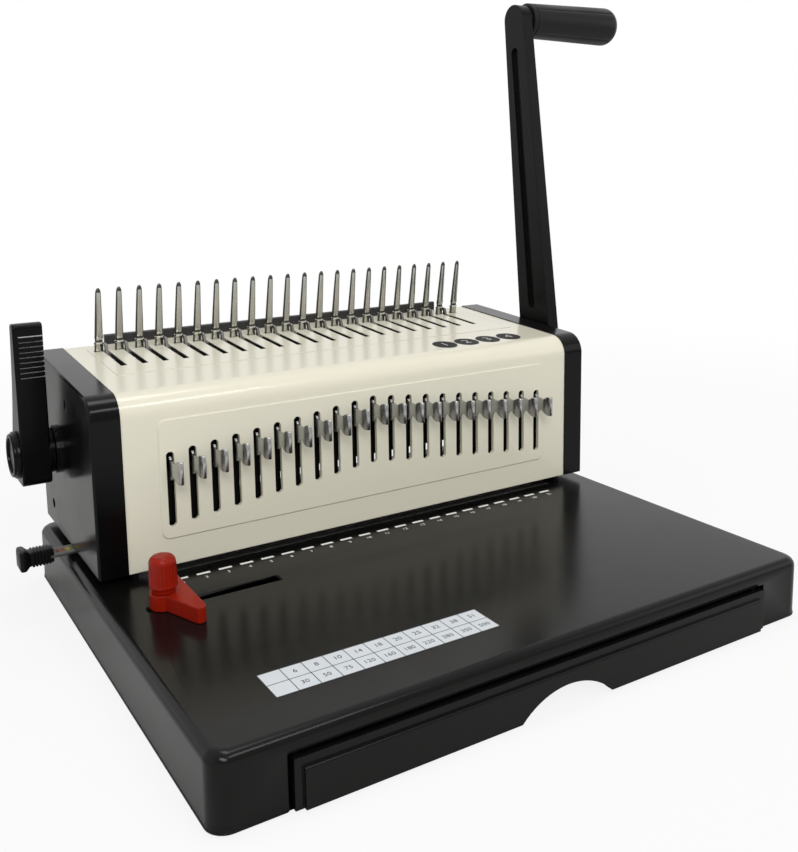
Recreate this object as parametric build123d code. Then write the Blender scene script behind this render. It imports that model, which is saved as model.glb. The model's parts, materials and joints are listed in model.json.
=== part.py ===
from build123d import *
import math
import os

# Comb binding machine with twenty-one withdrawable punches, built as separate pieces.
# Millimetres. X runs along the machine to the right, +Y to the back, +Z up.
# The origin is under the middle of the base, on the surface that the rubber feet stand on.

# Base
base_width = 392.0
base_depth = 336.0
base_top = 39.0
base_bottom = 2.0
base_wall = 3.0
base_corner = 10.0
base_edge = 5.5
lip_height = 3.0
lip_depth = 0.8

# Housing above the base; the front face of the cover is the reference for depth
table_depth = 198.0
throat = 5.0
cover_half = 171.5
cover_sheet = 2.0
cover_depth = 137.0
front_top = 153.0
top_slope = 0.065
front_round = 14.0
cap_wide = 18.1
cap_edge = 1.2
cap_wall = 2.5
panel_half = 149.8
panel_raise = 0.8
panel_bevel = 0.6
panel_low = 61.0
panel_high = 136.6
panel_corner = 5.0
top_panel_half = 158.0
top_panel_front = 50.0
top_panel_back = 125.0
top_panel_raise = 0.3
cap_grow = 0.6

# Punches, one every nine sixteenths of an inch
count = 21
pitch = 14.2875
punch_wide = 8.0
punch_thick = 3.0
punch_set_back = 7.5
stagger = 1.53
slot_high = 131.4
slot_length = 47.2
slot_wide = 5.0
slot_chamfer = 1.5
punch_tip = 60.2
guide_height = 22.0
guide_thick = 10.0
punch_gap = 0.1
die_half = 158.0
die_before = 5.5
die_behind = 14.5
die_flange = 4.0
die_flange_thick = 2.0
die_gap = 0.15

# Pull tabs that lock each punch to the beam
tab_sheet = 1.8
tab_reach = 15.4
tab_root = 14.7
tab_below_slot = 2.9
tab_neck = 8.0
tab_flare = 13.8
tab_lip = 3.8
tab_lip_shift = 0.9
tab_tail = 15.5
tab_chamfer = 1.1
tab_gap = 0.25
tab_travel = 7.0

# Punch beam and its drive
beam_thick = 10.0
beam_low = 92.0
beam_high = 132.0
tenon_low = 99.0
tenon_high = 125.0
tooth_module = 2.0
drive_teeth = 17
backlash = 0.35
drive_y = 56.0
drive_z = 101.5
drive_radius = 6.0
gear_thick = 8.0
drive_gear_x = 120.0
rack_back = 9.0
rack_spare = 10.0
handle_travel = 80.0

# Handle arm and grip
arm_gap = 2.5
arm_thick = 10.0
arm_tilt = 6.6
arm_length = 304.0
arm_low_radius = 20.0
arm_top_radius = 11.8
arm_hub = 13.0
groove_wide = 6.8
groove_deep = 3.0
groove_low = 66.0
groove_high = 272.0
bolt_radius = 9.0
grip_length = 85.0
grip_neck = 2.5
grip_root = 28.0
grip_end = 31.5
grip_round = 9.0
stud_radius = 4.0
stud_end = 16.0

# Comb opener: lever, shaft, hook plate and fixed pins
opener_y = 94.0
opener_z = 103.0
opener_radius = 5.0
opener_teeth = 16
opener_gear_x = 145.0
opener_travel = 90.0
lever_wide = 18.5
lever_boss = 16.0
boss_height = 2.5
lever_hub = 15.0
lever_gap = 6.0
lever_up = 84.0
lever_down = 22.0
lever_front = 14.0
lever_thick_top = 9.5
lever_thick_hub = 26.0
lever_thick_middle = 14.0
lever_swell = 32.0
hub_cap_thick = 4.5
rib_count = 9
rib_pitch = 3.5
rib_start = 8.5
pin_count = 22
pin_y = 118.5
pin_shift = -1.5
pin_height = 45.4
pin_foot = 5.6
pin_tip = 3.5
pin_thick = 2.6
pin_lean = 7.5
pin_gap = 0.3
hook_offset = 4.5
hook_sheet = 1.8
hook_slot_wide = 4.2
hook_slot_front = 72.7
hook_bar = 28.0
hook_rise = 5.0
hook_plate_z = 146.5
hook_plate_thick = 2.5
hook_plate_before = 10.0
hook_plate_behind = 18.0
hook_window = 100.0
carrier_top = 153.0

# Frame plates
frame_sheet = 3.0
frame_inset = 3.5
frame_top = 152.0
frame_slant_high = 52.0
frame_slant_middle = 34.0
frame_slant_low = 12.0
frame_drop_high = 6.0
frame_drop_middle = 14.0
frame_drop_low = 26.0
frame_foot = 12.0
bush_wall = 2.0
spring_wire = 1.8
spring_turns = 3
spring_steps = 12
spring_gap = 1.0
running = 0.05
seat = 0.3
facets = 24
few_facets = 16
corner_steps = 6
edge_steps = 4

# Chip drawer
drawer_side = 38.0
drawer_low = 2.6
drawer_high = 27.5
drawer_gap = 2.0
tray_inset = 5.0
tray_floor = 4.0
tray_top = 19.0
tray_back = 36.0
tray_wall = 2.0
runner_gap = 0.5
runner_sheet = 2.0
runner_high = 30.0
runner_foot = 6.0
runner_post = 80.0
finger_wide = 62.0
finger_high = 13.0
finger_deep = 24.0

# Edge guide in its slot
guide_inset = 32.0
guide_y = -43.0
guide_slot_inset = 21.5
guide_slot_length = 83.0
guide_slot_wide = 8.5
guide_slot_corner = 1.5
guide_boss = 8.3
guide_foot = 9.0
guide_reach = 14.0
guide_arm = 33.0
guide_tail = 17.0
guide_tip = 3.0
knob_radius = 8.3
knob_height = 22.0
knob_collar = 3.0
knob_collar_radius = 6.8
knob_ribs = 14
rib_height = 0.7
knob_dome = 4.5
knob_roof = 7.0
clamp_radius = 3.0
bolt_head = 7.0
bolt_thick = 3.0

# Margin selector and the depth stop it moves
strip_y = 66.0
strip_wide = 14.0
strip_thick = 1.5
strip_reach = 8.0
selector_radius = 5.2
selector_flare = 7.4
selector_length = 21.0
cam_slope = 0.25
margin_travel = 12.0
margin_least = 3.0
stop_thick = 2.0
stop_bar = 2.5
stop_half = 140.0
stop_arm_x = 100.0
stop_arm_wide = 10.0
peg_radius = 2.0
keeper_x = 60.0
keeper_wide = 10.0

# Rear rail, feet and screws
rail_half = 142.0
rail_thick = 4.0
rail_rise = 7.0
foot_half = 8.0
foot_inset = 18.0
screw_radius = 3.2
screw_depth = 3.0
screw_gap = 0.2
screw_front = 59.0
screw_high = 140.0
screw_rear = 112.0
screw_low = 60.0
vent_x = 110.0
vent_half = 30.0
vent_first = 66.0
vent_pitch = 10.0
vent_count = 6
vent_high = 3.0

# Lengths worked out from the values above
face_y = table_depth - base_depth / 2
back_y = face_y + cover_depth
cover_low = base_top + throat
punch_y = face_y + punch_set_back
beam_front = punch_y + punch_thick / 2 + seat
beam_back = beam_front + beam_thick
drive_pitch = tooth_module * drive_teeth / 2
opener_pitch = tooth_module * opener_teeth / 2
beam_travel = math.radians(handle_travel) * drive_pitch
hook_travel = math.radians(opener_travel) * opener_pitch
shaft_y = face_y + drive_y
open_y = face_y + opener_y
cap_half = cover_half + cap_wide
frame_outer = cover_half - frame_inset
frame_x = frame_outer - frame_sheet
drawer_half = base_width / 2 - drawer_side
tray_half = drawer_half - tray_inset
guide_x = guide_inset - base_width / 2
guide_stop_x = guide_x + guide_reach
guide_slot_left = guide_slot_inset - base_width / 2
guide_slot_right = guide_slot_left + guide_slot_length
strip_out = max(base_width / 2, cap_half) + strip_reach
centre = (count + 1) / 2
under = base_top - base_wall
rib_y = face_y + tray_back + 8
die_front = punch_y - die_before
die_back = punch_y + die_behind
strip_middle = face_y + strip_y
strip_low = base_top + seat + stop_thick + seat
strip_high = strip_low + strip_thick
stop_travel = cam_slope * margin_travel
hook_front = open_y - hook_plate_before
hook_back = open_y + hook_plate_behind
knob_low = base_top + seat + guide_foot + 0.2
cap_screw_places = ((face_y + screw_front, screw_high), (face_y + screw_rear, screw_low))


def top_at(y):
    """Height of the sloping top of the housing at a given depth."""
    return front_top + top_slope * (y - face_y)


def slot_top(i):
    return slot_high - stagger * abs(i - centre)


def punch_x(i):
    return (i - centre) * pitch


def pin_x(j):
    return (j - (pin_count + 1) / 2) * pitch + pin_shift


def block(x0, x1, y0, y1, z0, z1):
    return Pos((x0 + x1) / 2, (y0 + y1) / 2, (z0 + z1) / 2) * Box(x1 - x0, y1 - y0, z1 - z0)


def rod_x(radius, x0, x1, y, z):
    return Pos((x0 + x1) / 2, y, z) * Rot(0, 90, 0) * Cylinder(radius, x1 - x0)


def prism_x(radius, sides, x0, x1, y, z):
    """Rod along X with flat sides."""
    return extrude(Plane.YZ.offset(x0) * Pos(y, z) * RegularPolygon(radius, sides), x1 - x0)


def turned_x(bands, x, y, z):
    """Turned form along X, given as (distance, radius) bands and faceted round its axis."""
    return loft([Plane.YZ.offset(x + along) * Pos(y, z) * RegularPolygon(radius, facets) for along, radius in bands],
                ruled=True)


def rod_z(radius, x, y, z0, z1):
    return Pos(x, y, (z0 + z1) / 2) * Cylinder(radius, z1 - z0)


def plate_x(wire, x0, x1):
    """Outline drawn in depth and height, given its thickness along X."""
    return extrude(Plane.YZ.offset(x0) * make_face(wire), x1 - x0)


def outline_x(points, x0, x1):
    return plate_x(Polyline(*points, close=True), x0, x1)


def mirror_x(shape):
    return mirror(shape, Plane.YZ)


def both(shape):
    return Compound(children=[shape, mirror_x(shape)])


def group(shapes):
    return Compound(children=list(shapes))


def slot_x(width, corner, x0, x1, y, z0, z1):
    """Slot along X with its corners cut off."""
    return chamfer(block(x0, x1, y - width / 2, y + width / 2, z0, z1).edges().filter_by(Axis.Z), corner)


def rounded_outline(half_x, half_y, radius):
    """Rectangle whose corners are rounded in short straights."""
    points = []
    for quarter, (sx, sy) in enumerate(((1, 1), (-1, 1), (-1, -1), (1, -1))):
        for k in range(corner_steps + 1):
            angle = math.pi / 2 * (quarter + k / corner_steps)
            points.append((sx * (half_x - radius) + radius * math.cos(angle),
                           sy * (half_y - radius) + radius * math.sin(angle)))
    return make_face(Polyline(*points, close=True))


# Gear and rack teeth share one involute tooth form
pressure = math.radians(20.0)
addendum = tooth_module
dedendum = 1.25 * tooth_module
tooth_pitch = math.pi * tooth_module


def involute(angle):
    return math.tan(angle) - angle


def half_tooth(radius, pitch_radius):
    """Half the angle that a tooth spans at a given radius."""
    base = pitch_radius * math.cos(pressure)
    here = math.acos(base / max(radius, base))
    at_pitch = (tooth_pitch / 2 - backlash) / (2 * pitch_radius)
    return at_pitch + involute(pressure) - involute(here)


def gear_sector(pitch_radius, teeth, first, last, bore, x, y, z, facing):
    """Disc along X with the teeth from first to last, counted from the facing angle."""
    root = pitch_radius - dedendum
    tip = pitch_radius + addendum
    levels = (root - 0.5, pitch_radius, tip)
    face = RegularPolygon(root, facets)
    for k in range(first, last + 1):
        middle = math.radians(facing) + k * 2 * math.pi / teeth
        sides = []
        for sign in (1, -1):
            angles = [middle + sign * half_tooth(r, pitch_radius) for r in levels]
            sides.append([(r * math.cos(a), r * math.sin(a)) for r, a in zip(levels, angles)])
        left, right = sides
        face += make_face(Polyline(*left, *reversed(right), close=True))
    face -= RegularPolygon(bore, few_facets, major_radius=False)
    return extrude(Plane.YZ.offset(x - gear_thick / 2) * Pos(y, z) * face, gear_thick)


def rack_points(start, stop, back):
    """Rack outline from start to stop along its length; a tooth gap is centred on zero."""
    lean = math.tan(pressure)
    half = (tooth_pitch / 2 - backlash) / 2
    points = [(start, -back), (start, -dedendum)]
    k = math.ceil(start / tooth_pitch)
    while (k + 1) * tooth_pitch <= stop:
        middle = (k + 0.5) * tooth_pitch
        points.append((middle - half - dedendum * lean, -dedendum))
        points.append((middle - half + addendum * lean, addendum))
        points.append((middle + half - addendum * lean, addendum))
        points.append((middle + half + dedendum * lean, -dedendum))
        k += 1
    points += [(stop, -dedendum), (stop, -back)]
    return points


def base_shell():
    height = base_top - base_bottom
    layers = [Plane.XY.offset(base_bottom) * rounded_outline(base_width / 2, base_depth / 2, base_corner)]
    for k in range(edge_steps + 1):
        angle = math.pi / 2 * k / edge_steps
        inset = base_edge * (1 - math.cos(angle))
        level = Plane.XY.offset(base_top - base_edge + base_edge * math.sin(angle))
        layers.append(level * rounded_outline(base_width / 2 - inset, base_depth / 2 - inset, base_corner - inset))
    body = loft(layers, ruled=True)
    lip = Box(base_width + 2 * lip_depth, base_depth + 2 * lip_depth, lip_height)
    body += Pos(0, 0, base_bottom + lip_height / 2) * chamfer(lip.edges().filter_by(Axis.Z), base_corner / 2)
    inner = Box(base_width - 2 * base_wall, base_depth - 2 * base_wall, height)
    inner = chamfer(inner.edges().filter_by(Axis.Z), base_corner / 2)
    body -= Pos(0, 0, base_bottom + height / 2 - base_wall) * inner
    # Posts for the feet and a cross rib behind the drawer
    for x in (-1, 1):
        for y in (-1, 1):
            post_x = x * (base_width / 2 - foot_inset)
            post_y = y * (base_depth / 2 - foot_inset)
            body += block(post_x - foot_half, post_x + foot_half, post_y - foot_half, post_y + foot_half,
                          base_bottom + 2, under)
    rib_half = base_width / 2 - base_wall
    body += block(-rib_half, rib_half, rib_y, rib_y + base_wall, base_bottom + 4, under)
    # Mouth of the drawer
    front = -base_depth / 2
    mouth = drawer_half + drawer_gap
    body -= block(-mouth, mouth, front - 2, front + base_wall + 1, base_bottom - 1, drawer_high + drawer_gap)
    # Window for the die plate, slot of the edge guide and guide slots of the depth stop
    body -= block(-die_half - seat, die_half + seat, die_front - seat, die_back + seat, under - 1, base_top + 1)
    body -= slot_x(guide_slot_wide, guide_slot_corner, guide_slot_left, guide_slot_right, face_y + guide_y,
                   under - 1, base_top + 1)
    wide = peg_radius + seat
    for x in (-stop_arm_x, stop_arm_x):
        body -= block(x - wide, x + wide, strip_middle - wide, strip_middle + wide + stop_travel,
                      under - 1, base_top + 1)
    # Keepers that carry the margin strip and hold it down
    edge = strip_middle + strip_wide / 2 + seat
    for x in (-keeper_x, keeper_x):
        left, right = x - keeper_wide / 2, x + keeper_wide / 2
        body += block(left, right, edge - 8, edge + 3, base_top - 1, strip_low)
        body += block(left, right, edge, edge + 3, base_top - 1, strip_high + seat + 2)
        body += block(left, right, edge - 4, edge + 1, strip_high + seat, strip_high + seat + 2)
    return body


def rubber_feet():
    feet = []
    for x in (-1, 1):
        for y in (-1, 1):
            post_x = x * (base_width / 2 - foot_inset)
            post_y = y * (base_depth / 2 - foot_inset)
            wide = foot_half - 0.5
            pad = block(post_x - wide, post_x + wide, post_y - wide, post_y + wide, 0, base_bottom + 2)
            feet.append(chamfer(pad.edges().filter_by(Axis.Z), 2.0))
    return group(feet)


def base_pan():
    """Plate that closes the underside behind the drawer."""
    half = base_width / 2 - base_wall - foot_inset - foot_half
    back = base_depth / 2 - base_wall - seat
    pan = block(-half, half, rib_y, back, base_bottom + 2, base_bottom + 4)
    slots = [block(x - 1.5, x + 1.5, rib_y + 15, back - 15, base_bottom, base_bottom + 5)
             for x in range(-120, 121, 24)]
    return pan - slots


def drawer_runners():
    """Angle rails under the tray, hung from the base by a long post in front and one at the back."""
    inner = tray_half + runner_gap
    outer = inner + runner_sheet
    front = -base_depth / 2 + base_wall
    low = base_bottom + 0.2
    rail = block(inner - runner_foot, outer, front, rib_y, low, tray_floor - seat)
    rail += block(inner, outer, front, rib_y, low, runner_high)
    for start, stop in ((front + 4, front + 4 + runner_post), (die_back + die_flange + 1, rib_y)):
        rail += block(inner, outer, start, stop, runner_high - 1, under)
        rail += block(inner, outer + runner_foot, start, stop, under - runner_sheet, under)
    return both(rail)


def chip_drawer():
    front = -base_depth / 2
    tray = block(-tray_half, tray_half, front, face_y + tray_back, tray_floor, tray_top)
    tray -= block(-tray_half + tray_wall, tray_half - tray_wall, front + 6, face_y + tray_back - tray_wall,
                  tray_floor + tray_wall, tray_top + 1)
    flange = block(-drawer_half, drawer_half, front - 2.5, front + 0.5, drawer_low, drawer_high)
    border = 4.5
    panel = block(-drawer_half + border, drawer_half - border, front - 4.5, front, drawer_low,
                  drawer_high - border)
    panel = fillet(panel.edges().filter_by(Axis.X).group_by(Axis.Y)[0].sort_by(Axis.Z)[-1], 1.2)
    neck = block(-tray_half, tray_half, front - 1, front + 6, tray_floor, drawer_high - 2)
    drawer = tray + flange + panel + neck
    # Finger arch under the front edge, with its own closed pocket in the tray
    cut = finger_arch(0, front + finger_deep, finger_deep + 10)
    skin = finger_arch(tray_wall, front + finger_deep + tray_wall, finger_deep)
    skin &= block(-tray_half, tray_half, front, face_y, tray_floor, tray_top)
    drawer += skin
    drawer -= cut
    return drawer


def finger_arch(grow, back, length):
    """Arch along Y that ends at a given depth."""
    wide, high = finger_wide / 2 + grow, finger_high + grow
    low = -grow - 2
    outline = ThreePointArc((wide, 0), (0, high), (-wide, 0)) + Polyline((-wide, 0), (-wide, low), (wide, low),
                                                                         (wide, 0))
    return Pos(0, back, drawer_low) * extrude(Plane.XZ * make_face(outline), length)


def die_plate():
    """Hardened strip flush with the table, with one hole for each punch and a flange below."""
    plate = block(-die_half, die_half, die_front, die_back, under - 1, base_top)
    plate += block(-die_half - die_flange, die_half + die_flange, die_front - die_flange,
                   die_back + die_flange, under - die_flange_thick, under)
    wide = punch_wide / 2 + die_gap
    thick = punch_thick / 2 + die_gap
    low = under - die_flange_thick - 1
    holes = [block(punch_x(i) - wide, punch_x(i) + wide, punch_y - thick, punch_y + thick, low, base_top + 1)
             for i in range(1, count + 1)]
    return plate - holes


def punch_guide():
    """Bar between the frames that guides the punches above the paper throat."""
    front = face_y + cover_sheet + 0.5
    bar = block(-frame_x, frame_x, front, front + guide_thick, cover_low, cover_low + guide_height)
    wide = punch_wide / 2 + punch_gap
    thick = punch_thick / 2 + punch_gap
    top = cover_low + guide_height + 1
    holes = [block(punch_x(i) - wide, punch_x(i) + wide, punch_y - thick, punch_y + thick, cover_low - 1, top)
             for i in range(1, count + 1)]
    return bar - holes


def side_frame():
    """Upright plate that carries both shafts, the beam end, the hook plate end and the pin bar."""
    front = face_y + cover_sheet + 0.5
    back = back_y - cover_sheet - 0.5
    high = frame_top
    points = [(front, base_top), (back, base_top), (back, high), (face_y + frame_slant_high, high),
              (face_y + frame_slant_middle, high - frame_drop_high),
              (face_y + frame_slant_low, high - frame_drop_middle), (front, high - frame_drop_low)]
    plate = outline_x(points, frame_x, frame_outer)
    # Window in which the beam end slides and slot in which the hook plate slides
    plate -= block(frame_x - 1, frame_outer + 1, beam_front + 1 - seat, beam_back - 1 + seat,
                   tenon_low - beam_travel - seat, tenon_high + seat)
    reach = hook_travel + seat
    plate -= block(frame_x - 1, frame_outer + 1, hook_front - reach, hook_back + seat,
                   hook_plate_z - seat, hook_plate_z + hook_plate_thick + seat)
    plate -= prism_x(drive_radius + bush_wall + running, few_facets, frame_x - 1, frame_outer + 1, shaft_y, drive_z)
    plate -= rod_x(opener_radius + running, frame_x - 1, frame_outer + 1, open_y, opener_z)
    # Passage of the margin strip, with a foot on each side of it
    half = strip_wide / 2 + 1
    plate -= block(frame_x - 1, frame_outer + 1, strip_middle - half, strip_middle + half,
                   base_top - 1, strip_high + 1)
    foot_top = base_top + frame_sheet
    plate += block(frame_x - frame_foot, frame_x + 1, strip_middle + strip_wide, back, base_top, foot_top)
    plate += block(frame_x - frame_foot, frame_x + 1, die_back + 1, strip_middle - strip_wide, base_top, foot_top)
    return plate


def shaft_bushes():
    """Bushes of the handle shaft, pressed into both frames."""
    bush = prism_x(drive_radius + bush_wall, few_facets, frame_x, frame_outer, shaft_y, drive_z)
    bush -= rod_x(drive_radius + running, frame_x - 1, frame_outer + 1, shaft_y, drive_z)
    return both(bush)


def housing_solid(grow, x0, x1, back):
    """Block with the side outline of the housing: upright front, rounded edge and sloping top."""
    front = face_y - grow
    rise = grow * math.sqrt(1 + top_slope ** 2)
    solid = outline_x([(front, cover_low), (front, top_at(front) + rise), (back, top_at(back) + rise),
                       (back, cover_low)], x0, x1)
    edge = solid.edges().filter_by(Axis.X).group_by(Axis.Y)[0].sort_by(Axis.Z)[-1]
    return fillet(edge, front_round + grow)


def upright_slot(x, low, high):
    """Cut for one pull tab through the front sheet, its ends rounded off in short facets."""
    wide, c = slot_wide / 2, slot_chamfer
    points = [(x - wide, low + c), (x - wide + c, low), (x + wide - c, low), (x + wide, low + c),
              (x + wide, high - c), (x + wide - c, high), (x - wide + c, high), (x - wide, high - c)]
    cut = extrude(Plane.XZ * make_face(Polyline(*points, close=True)), cover_sheet + 2 * panel_raise, both=True)
    return Pos(0, face_y, 0) * cut


def housing_cover():
    """Painted sheet cover, open at its ends, with raised panels and all its slots."""
    shell = housing_solid(0, -cover_half, cover_half, back_y)
    hollow = housing_solid(-cover_sheet, -cover_half - 1, cover_half + 1, back_y + 1)
    shell -= hollow + block(-cover_half - 1, cover_half + 1, face_y + cover_sheet, back_y + 1,
                            cover_low - 1, cover_low + 1)
    # Raised panels on the front and on the top
    front = Pos(0, face_y, (panel_low + panel_high) / 2) * Box(2 * panel_half, 2 * panel_raise,
                                                                 panel_high - panel_low)
    front = fillet(front.edges().filter_by(Axis.Y), panel_corner)
    shell += chamfer(front.faces().sort_by(Axis.Y)[0].edges(), panel_bevel)
    first, last = face_y + top_panel_front, face_y + top_panel_back
    shell += outline_x([(first, top_at(first) - 1), (first, top_at(first) + top_panel_raise),
                        (last, top_at(last) + top_panel_raise), (last, top_at(last) - 1)],
                       -top_panel_half, top_panel_half)
    cuts = [upright_slot(punch_x(i), slot_top(i) - slot_length, slot_top(i)) for i in range(1, count + 1)]
    # Slots for the hooks and openings for the comb pins
    low = front_top - cover_sheet - 6
    high = top_at(back_y) + 2
    wide = hook_slot_wide / 2
    for j in range(1, pin_count):
        x = pin_x(j) + hook_offset
        cuts.append(block(x - wide, x + wide, face_y + hook_slot_front, face_y + pin_y + 2, low, high))
    wide = pin_foot / 2 + seat + pin_gap
    thick = pin_thick / 2 + seat + pin_gap
    for j in range(1, pin_count + 1):
        x = pin_x(j)
        cuts.append(block(x - wide, x + wide, face_y + pin_y - thick, face_y + pin_y + thick, low, high))
    return shell - cuts


def end_cap():
    """Black side cap, drawn for the right side, a little larger than the cover all round."""
    back = back_y + cap_grow
    cap = housing_solid(cap_grow, cover_half, cap_half, back)
    cap = chamfer(cap.faces().sort_by(Axis.X)[-1].edges(), cap_edge)
    inside = outline_x([(face_y + cap_wall, cover_low - 1), (face_y + cap_wall, front_top - cap_wall - 9),
                        (face_y + cap_wall + 9, front_top - cap_wall),
                        (back_y - cap_wall, top_at(back_y) - cap_wall), (back_y - cap_wall, cover_low - 1)],
                       cover_half - 1, cap_half - cap_wall)
    cap -= inside
    for y, z in cap_screw_places:
        cap -= prism_x(screw_radius + screw_gap, few_facets, cap_half - cap_wall - 1, cap_half + 1, y, z)
    return cap


def right_end_cap():
    return end_cap() - rod_x(drive_radius + 0.5, cover_half, cap_half + 1, shaft_y, drive_z)


def left_end_cap():
    """Left cap, with the boss beside the lever and a notch over the margin strip."""
    cap = end_cap() + prism_x(lever_boss, facets, cap_half - cap_wall, cap_half + boss_height, open_y, opener_z)
    cap -= rod_x(opener_radius + 0.5, cover_half, cap_half + boss_height + 1, open_y, opener_z)
    return mirror_x(cap)


def cap_screws():
    """Shoulder screws that hold the caps to the frames, sunk in the caps' side walls."""
    screws = [prism_x(screw_radius, 6, frame_outer, cap_half - screw_depth, y, z) for y, z in cap_screw_places]
    return group(screws + [mirror_x(screw) for screw in screws])


def rear_cover():
    """Black plate that closes the back of the housing."""
    front = back_y - cover_sheet
    high = top_at(back_y) - cover_sheet - seat
    plate = block(-cover_half + seat, cover_half - seat, front, back_y, cover_low, high)
    for k in range(vent_count):
        z = vent_first + k * vent_pitch
        for x in (-vent_x, vent_x):
            plate -= block(x - vent_half, x + vent_half, front - 1, back_y + 1, z, z + vent_high)
    return plate


def rear_rail():
    """Rail behind the comb pins that the open comb rests against."""
    low = 130.0
    high = top_at(back_y) + rail_rise
    rail = block(-rail_half, rail_half, back_y, back_y + rail_thick, low, high)
    top = rail.edges().filter_by(Axis.X).group_by(Axis.Z)[-1]
    return fillet(top, 1.2)


def pin_bar():
    """Bar across the frames that the comb pins stand on."""
    y = face_y + pin_y
    return block(-frame_x, frame_x, y - 2.5, back_y - cover_sheet, carrier_top - 3, carrier_top)


def comb_pins():
    """Row of leaning steel pins, each with a foot, a collar and a tapered blade."""
    surface = top_at(face_y + pin_y)
    wide, tip, thick = pin_foot / 2, pin_tip / 2, pin_thick / 2
    outline = Polyline((-wide, 0), (-tip, pin_height - tip), (-tip / 2, pin_height), (tip / 2, pin_height),
                       (tip, pin_height - tip), (wide, 0), close=True)
    lean = Rot(math.degrees(math.atan2(pin_lean, pin_height)), 0, 0)
    blade = extrude(Plane.XZ * make_face(outline), thick, both=True)
    foot = block(-wide, wide, -thick, thick, carrier_top - surface, 1.5)
    pin = foot + lean * blade
    return group([Pos(pin_x(j), face_y + pin_y, surface) * pin for j in range(1, pin_count + 1)])


def hook_plate():
    """Sliding plate with one hook for each ring of the comb and a rack near each end."""
    half = frame_outer
    low, high = hook_plate_z, hook_plate_z + hook_plate_thick
    plate = block(-half, half, hook_front, hook_back, low, high)
    plate -= block(-hook_window, hook_window, hook_front + 6, hook_back - 8, low - 1, high + 1)
    tip_y = face_y + pin_y + 0.5
    bar_top = top_at(hook_front - hook_travel) - cover_sheet - seat
    surface = top_at(tip_y)
    profile = [(tip_y - hook_bar, high - 0.5), (tip_y - hook_bar, bar_top), (tip_y - 7, bar_top),
               (tip_y - 3.4, surface + hook_rise), (tip_y, surface + hook_rise + 0.6),
               (tip_y, surface + hook_rise - 1.4), (tip_y - 1.8, surface + hook_rise - 2.2),
               (tip_y - 1.8, carrier_top + seat), (hook_back + 1, carrier_top + seat), (hook_back - 2, high - 0.5)]
    for j in range(1, pin_count):
        x = pin_x(j) + hook_offset
        plate += outline_x(profile, x - hook_sheet / 2, x + hook_sheet / 2)
    # Racks with their teeth down, over the opener shaft
    pitch_z = opener_z + opener_pitch
    back = hook_plate_z + 0.5 - pitch_z
    reach_front = rack_spare
    reach_back = hook_travel + rack_spare
    outline = rack_points(-reach_front, reach_back, back)
    points = [(open_y + u, pitch_z - w) for u, w in outline]
    for x in (-opener_gear_x, opener_gear_x):
        rack = outline_x(points, x - gear_thick / 2, x + gear_thick / 2)
        front, rear = open_y - reach_front, open_y + reach_back
        window = block(x - gear_thick, x + gear_thick, front + 8, min(rear, hook_back) - 6,
                       pitch_z + 8, hook_plate_z - 4)
        plate += rack - window
    return plate


def opener_shaft():
    return rod_x(opener_radius, -cap_half - lever_gap - lever_wide + 2, frame_outer + 1.5, open_y, opener_z)


def opener_gears():
    return group([gear_sector(opener_pitch, opener_teeth, -5, 1, opener_radius + running, x, open_y, opener_z, 90)
                  for x in (-opener_gear_x, opener_gear_x)])


def opener_lever():
    """Thumb lever: flat ribbed front, back that swells towards the hub, collar on its inner side."""
    right = -cap_half - lever_gap
    left = right - lever_wide
    low, high = opener_z - lever_down, opener_z + lever_up
    front = open_y - lever_front
    heel = front + lever_thick_hub
    outline = Polyline((front + lever_thick_top, high - 2), (front + lever_thick_top - 2, high), (front + 2, high),
                       (front, high - 2), (front, low + 3), (front + 3, low), (heel - 8, low), (heel, low + 8),
                       (heel, opener_z + 4), (front + lever_thick_middle, opener_z + lever_swell),
                       (front + lever_thick_top, high - 2))
    lever = plate_x(outline, left, right)
    lever += turned_x([(-1, lever_hub), (lever_gap - boss_height - seat, lever_hub)], right, open_y, opener_z)
    for k in range(rib_count):
        z = high - rib_start - k * rib_pitch
        lever += block(left + 2.5, right - 0.6, front - 0.6, front + 0.4, z - 0.5, z + 0.5)
    return lever - rod_x(opener_radius + running, left - 1, right + lever_gap, open_y, opener_z)


def lever_hub_cap():
    """Round cap on the outer side of the lever, with a rounded rim and a sunk middle."""
    left = -cap_half - lever_gap - lever_wide
    rim, step, deep = lever_hub + 0.5, lever_hub - 2.5, hub_cap_thick
    cap = turned_x([(-deep, rim - 1), (1 - deep, rim), (0, rim)], left, open_y, opener_z)
    return cap - prism_x(step, facets, left - deep - 1, left - deep + 1, open_y, opener_z)


def handle_shaft():
    return rod_x(drive_radius, -frame_outer - 1.5, cap_half + arm_gap + arm_thick - 2, shaft_y, drive_z)


def drive_gears():
    return group([gear_sector(drive_pitch, drive_teeth, -5, 1, drive_radius + running, x, shaft_y, drive_z, 180)
                  for x in (-drive_gear_x, drive_gear_x)])


def arm_centre(distance):
    """Point on the middle line of the arm, at a distance above the shaft."""
    tilt = math.radians(arm_tilt)
    return shaft_y + distance * math.sin(tilt), drive_z + distance * math.cos(tilt)


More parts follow.
